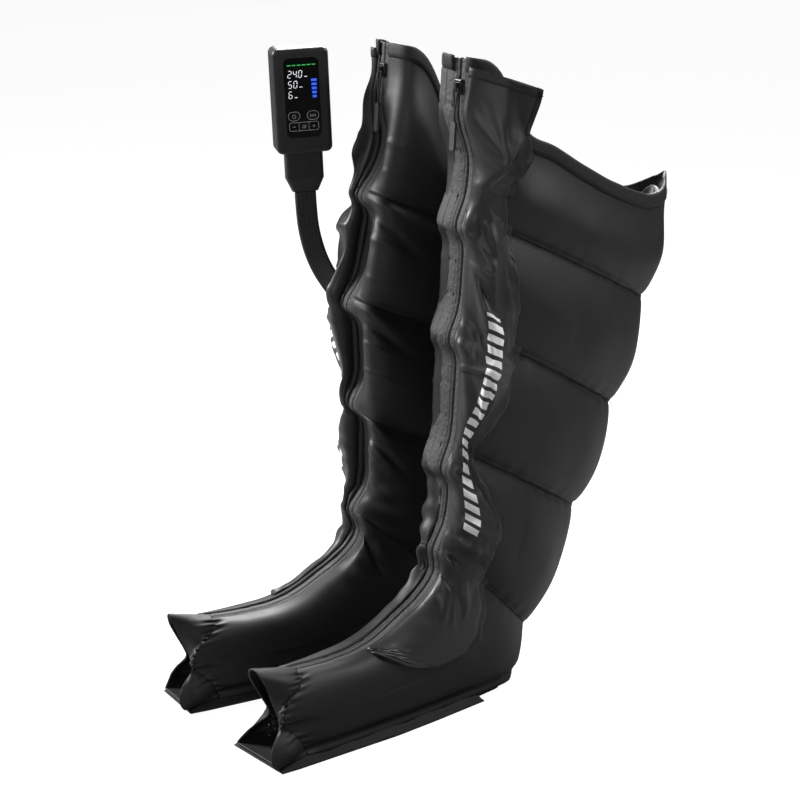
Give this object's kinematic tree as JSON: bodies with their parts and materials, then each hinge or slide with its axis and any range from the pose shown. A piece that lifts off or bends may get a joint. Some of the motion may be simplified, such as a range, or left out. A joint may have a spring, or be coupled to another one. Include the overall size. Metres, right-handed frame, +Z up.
{
  "type": "air compression leg massager",
  "caption": "Pair of tall zip-up padded air sleeves for the legs, stacked puffed rings with open toes and loose outer gussets, and a hand-held display controller on a flat hose.",
  "frame": {"origin": "on the floor, under the middle of the box round the sleeves and the controller, the hose and its plug left out", "axes": "+Z up the sleeves, -Y towards the toes, +X towards the wearer's left sleeve"},
  "size_m": [0.3584, 0.6978, 0.8201],
  "materials": {
    "sleeve_fabric": "satin woven nylon",
    "binding_fabric": "satin woven nylon",
    "sole_fabric": "matt woven nylon",
    "tape_fabric": "woven tape",
    "gusset_fabric": "glossy coated nylon",
    "cord_fabric": "braided cord",
    "coil_plastic": "matt",
    "slider_metal": "gloss black",
    "tab_rubber": "matt",
    "tube_rubber": "clear tube",
    "hose_rubber": "satin",
    "plug_plastic": "satin",
    "housing_plastic": "satin",
    "window_plastic": "gloss",
    "key_plastic": "gloss",
    "inner_plastic": "matt",
    "board_plastic": "satin",
    "battery_metal": "wrapped",
    "motor_steel": "brushed",
    "screw_steel": "brushed"
  },
  "bodies": {
    "sleeves": {"left_thigh_chamber": "sleeve_fabric", "right_thigh_chamber": "sleeve_fabric", "left_knee_chamber": "sleeve_fabric", "right_knee_chamber": "sleeve_fabric", "left_calf_chamber": "sleeve_fabric", "right_calf_chamber": "sleeve_fabric", "left_ankle_chamber": "sleeve_fabric", "right_ankle_chamber": "sleeve_fabric", "left_foot_chamber": "sleeve_fabric", "right_foot_chamber": "sleeve_fabric", "left_top_binding": "binding_fabric", "right_top_binding": "binding_fabric", "left_sole_panel": "sole_fabric", "right_sole_panel": "sole_fabric", "left_toe_hem": "binding_fabric", "right_toe_hem": "binding_fabric", "left_zipper_tape": "tape_fabric", "right_zipper_tape": "tape_fabric", "left_zipper_coil": "coil_plastic", "right_zipper_coil": "coil_plastic", "left_gusset_panel": "gusset_fabric", "right_gusset_panel": "gusset_fabric", "left_inlet_manifold": "inner_plastic", "right_inlet_manifold": "inner_plastic", "left_air_lines": "tube_rubber", "right_air_lines": "tube_rubber", "hose": "hose_rubber", "hose_plug": "plug_plastic"},
    "left_slider": {"left_zip_slider": "slider_metal"},
    "left_pull": {"left_pull_cord": "cord_fabric", "left_pull_tab": "tab_rubber"},
    "right_slider": {"right_zip_slider": "slider_metal"},
    "right_pull": {"right_pull_cord": "cord_fabric", "right_pull_tab": "tab_rubber"},
    "controller": {"front_housing": "housing_plastic", "rear_housing": "housing_plastic", "housing_screws": "screw_steel", "display_window": "window_plastic", "display_module": "inner_plastic", "circuit_board": "board_plastic", "battery_pack": "battery_metal", "pump_motor": "motor_steel", "pump_head": "inner_plastic", "valve_block": "inner_plastic", "solenoid_valves": "motor_steel", "outlet_socket": "inner_plastic", "charge_port": "motor_steel"},
    "pump_rotor": {"pump_shaft": "motor_steel"},
    "power_key": {"power_key": "key_plastic"},
    "mode_key": {"mode_key": "key_plastic"},
    "minus_key": {"minus_key": "key_plastic"},
    "heat_key": {"heat_key": "key_plastic"},
    "plus_key": {"plus_key": "key_plastic"}
  },
  "joints": [
    {"name": "left_zip_slide", "type": "slide", "parent": "sleeves", "child": "left_slider", "axis": [0.0054, -0.072, -0.9974], "range_m": [0, 0.46]},
    {"name": "left_pull_hinge", "type": "hinge", "parent": "left_slider", "child": "left_pull", "pos_m": [0.10508, -0.02712, 0.78381], "axis": [-0.9972, -0.075, 0], "range_deg": [0, 150]},
    {"name": "right_zip_slide", "type": "slide", "parent": "sleeves", "child": "right_slider", "axis": [-0.0054, -0.072, -0.9974], "range_m": [0, 0.46]},
    {"name": "right_pull_hinge", "type": "hinge", "parent": "right_slider", "child": "right_pull", "pos_m": [-0.05107, -0.02712, 0.78381], "axis": [-0.9972, 0.075, 0], "range_deg": [0, 150]},
    {"name": "controller_unplug", "type": "slide", "parent": "sleeves", "child": "controller", "axis": [-0.0163, -0.0365, 0.9992], "range_m": [0, 0.03]},
    {"name": "power_key_press", "type": "slide", "parent": "controller", "child": "power_key", "axis": [-0.9135, 0.4067, 0], "range_m": [0, 0.0006], "stiffness_N_per_m": 800, "springref_m": -0.0008},
    {"name": "mode_key_press", "type": "slide", "parent": "controller", "child": "mode_key", "axis": [-0.9135, 0.4067, 0], "range_m": [0, 0.0006], "stiffness_N_per_m": 800, "springref_m": -0.0008},
    {"name": "minus_key_press", "type": "slide", "parent": "controller", "child": "minus_key", "axis": [-0.9135, 0.4067, 0], "range_m": [0, 0.0006], "stiffness_N_per_m": 800, "springref_m": -0.0008},
    {"name": "heat_key_press", "type": "slide", "parent": "controller", "child": "heat_key", "axis": [-0.9135, 0.4067, 0], "range_m": [0, 0.0006], "stiffness_N_per_m": 800, "springref_m": -0.0008},
    {"name": "plus_key_press", "type": "slide", "parent": "controller", "child": "plus_key", "axis": [-0.9135, 0.4067, 0], "range_m": [0, 0.0006], "stiffness_N_per_m": 800, "springref_m": -0.0008},
    {"name": "pump_spin", "type": "hinge", "parent": "controller", "child": "pump_rotor", "pos_m": [-0.15102, -0.0792, 0.73455], "axis": [0.4064, 0.9128, 0.04], "continuous": true}
  ]
}
